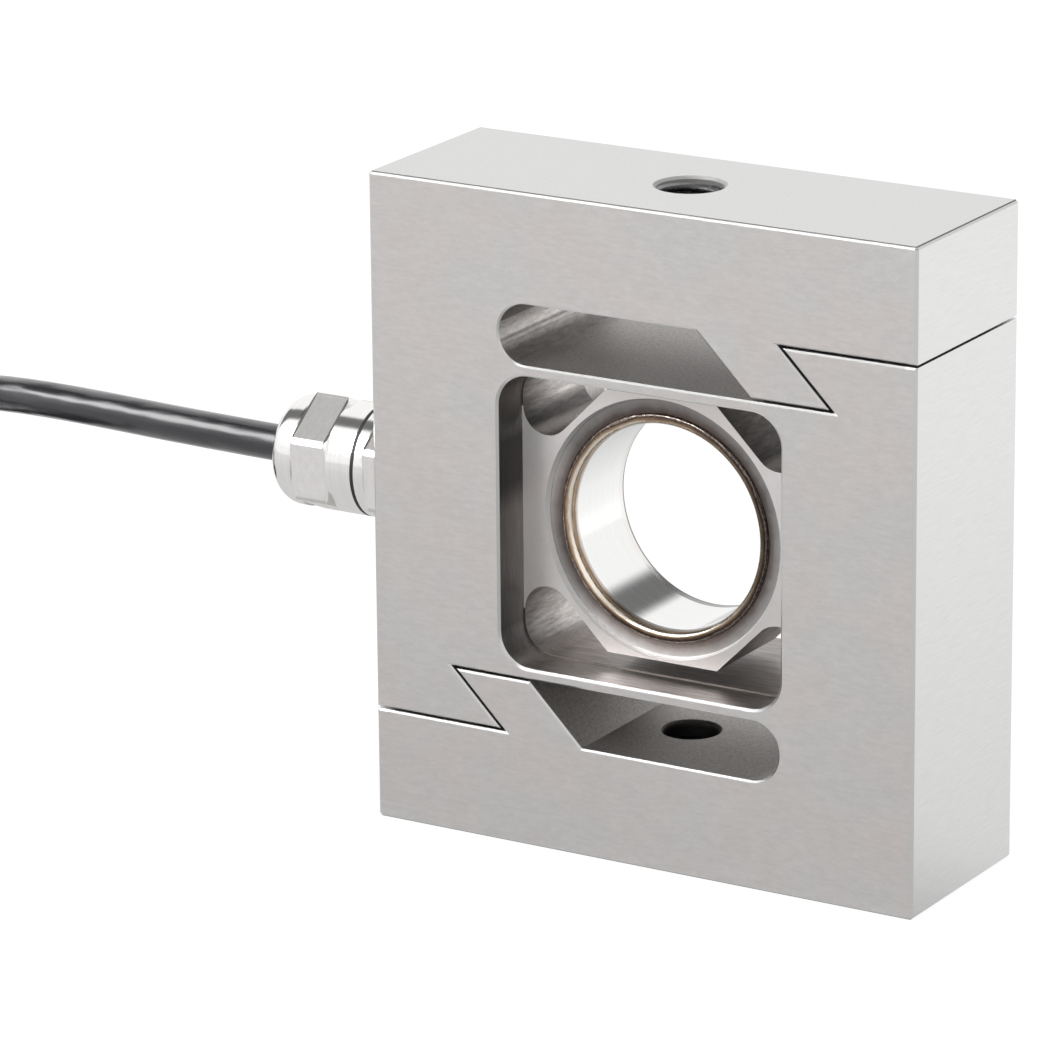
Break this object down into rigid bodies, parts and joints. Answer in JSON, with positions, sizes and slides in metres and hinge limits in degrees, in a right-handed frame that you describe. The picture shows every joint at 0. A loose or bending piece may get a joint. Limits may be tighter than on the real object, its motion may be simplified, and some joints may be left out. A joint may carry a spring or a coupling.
{
  "type": "s type load cell",
  "caption": "S-shaped steel load cell with a threaded hole at each end, wire-cut overload stop, welded sleeve in its web, and a side cable gland with its lead",
  "frame": {"origin": "bottom centre of the block, on the face that the lower thread opens in", "axes": "+Z along the load from the lower thread to the upper one, +X along the front face away from the cable gland, +Y from front to back"},
  "size_m": [0.2792, 0.051, 0.08],
  "materials": {
    "block_steel": "fine ground steel with a dull nickel finish",
    "sleeve_steel": "polished stainless steel",
    "weld_steel": "straw to brown heat tint",
    "gland_metal": "nickel plated brass",
    "ring_rubber": "black rubber",
    "bush_rubber": "black rubber",
    "claw_plastic": "natural nylon",
    "board_laminate": "green glass laminate",
    "resistor_ceramic": "black ceramic chip",
    "potting_resin": "grey silicone",
    "gauge_film": "amber film with foil grid",
    "lead_wire": "enamelled copper",
    "cable_jacket": "glossy black jacket",
    "shrink_sleeve": "black shrink sleeve",
    "core_red": "red insulation",
    "core_black": "black insulation",
    "core_green": "green insulation",
    "core_white": "white insulation",
    "drain_wire": "tinned braid",
    "ferrule_tin": "tinned crimp",
    "tie_strap": "black nylon hook strap"
  },
  "bodies": {
    "root": {"cable": "cable_jacket", "cable_hank": "cable_jacket", "cable_tail": "cable_jacket", "clamping_claw": "claw_plastic", "dome_nut": "gland_metal", "end_core_black": "core_black", "end_core_drain": "drain_wire", "end_core_green": "core_green", "end_core_red": "core_red", "end_core_white": "core_white", "end_sleeve": "shrink_sleeve", "ferrule_black": "ferrule_tin", "ferrule_drain": "ferrule_tin", "ferrule_green": "ferrule_tin", "ferrule_red": "ferrule_tin", "ferrule_white": "ferrule_tin", "front_tie": "tie_strap", "front_weld_bead": "weld_steel", "gauge_lead_1": "lead_wire", "gauge_lead_2": "lead_wire", "gauge_lead_3": "lead_wire", "gauge_lead_4": "lead_wire", "gland_body": "gland_metal", "gland_ring": "ring_rubber", "inner_core_black": "core_black", "inner_core_green": "core_green", "inner_core_red": "core_red", "inner_core_white": "core_white", "potting": "potting_resin", "rear_tie": "tie_strap", "rear_weld_bead": "weld_steel", "sealing_bush": "bush_rubber", "sealing_sleeve": "sleeve_steel", "spring_body": "block_steel", "strain_gauge_1": "gauge_film", "strain_gauge_2": "gauge_film", "strain_gauge_3": "gauge_film", "strain_gauge_4": "gauge_film", "terminal_board": "board_laminate", "trim_resistor_1": "resistor_ceramic", "trim_resistor_2": "resistor_ceramic"}
  },
  "joints": []
}
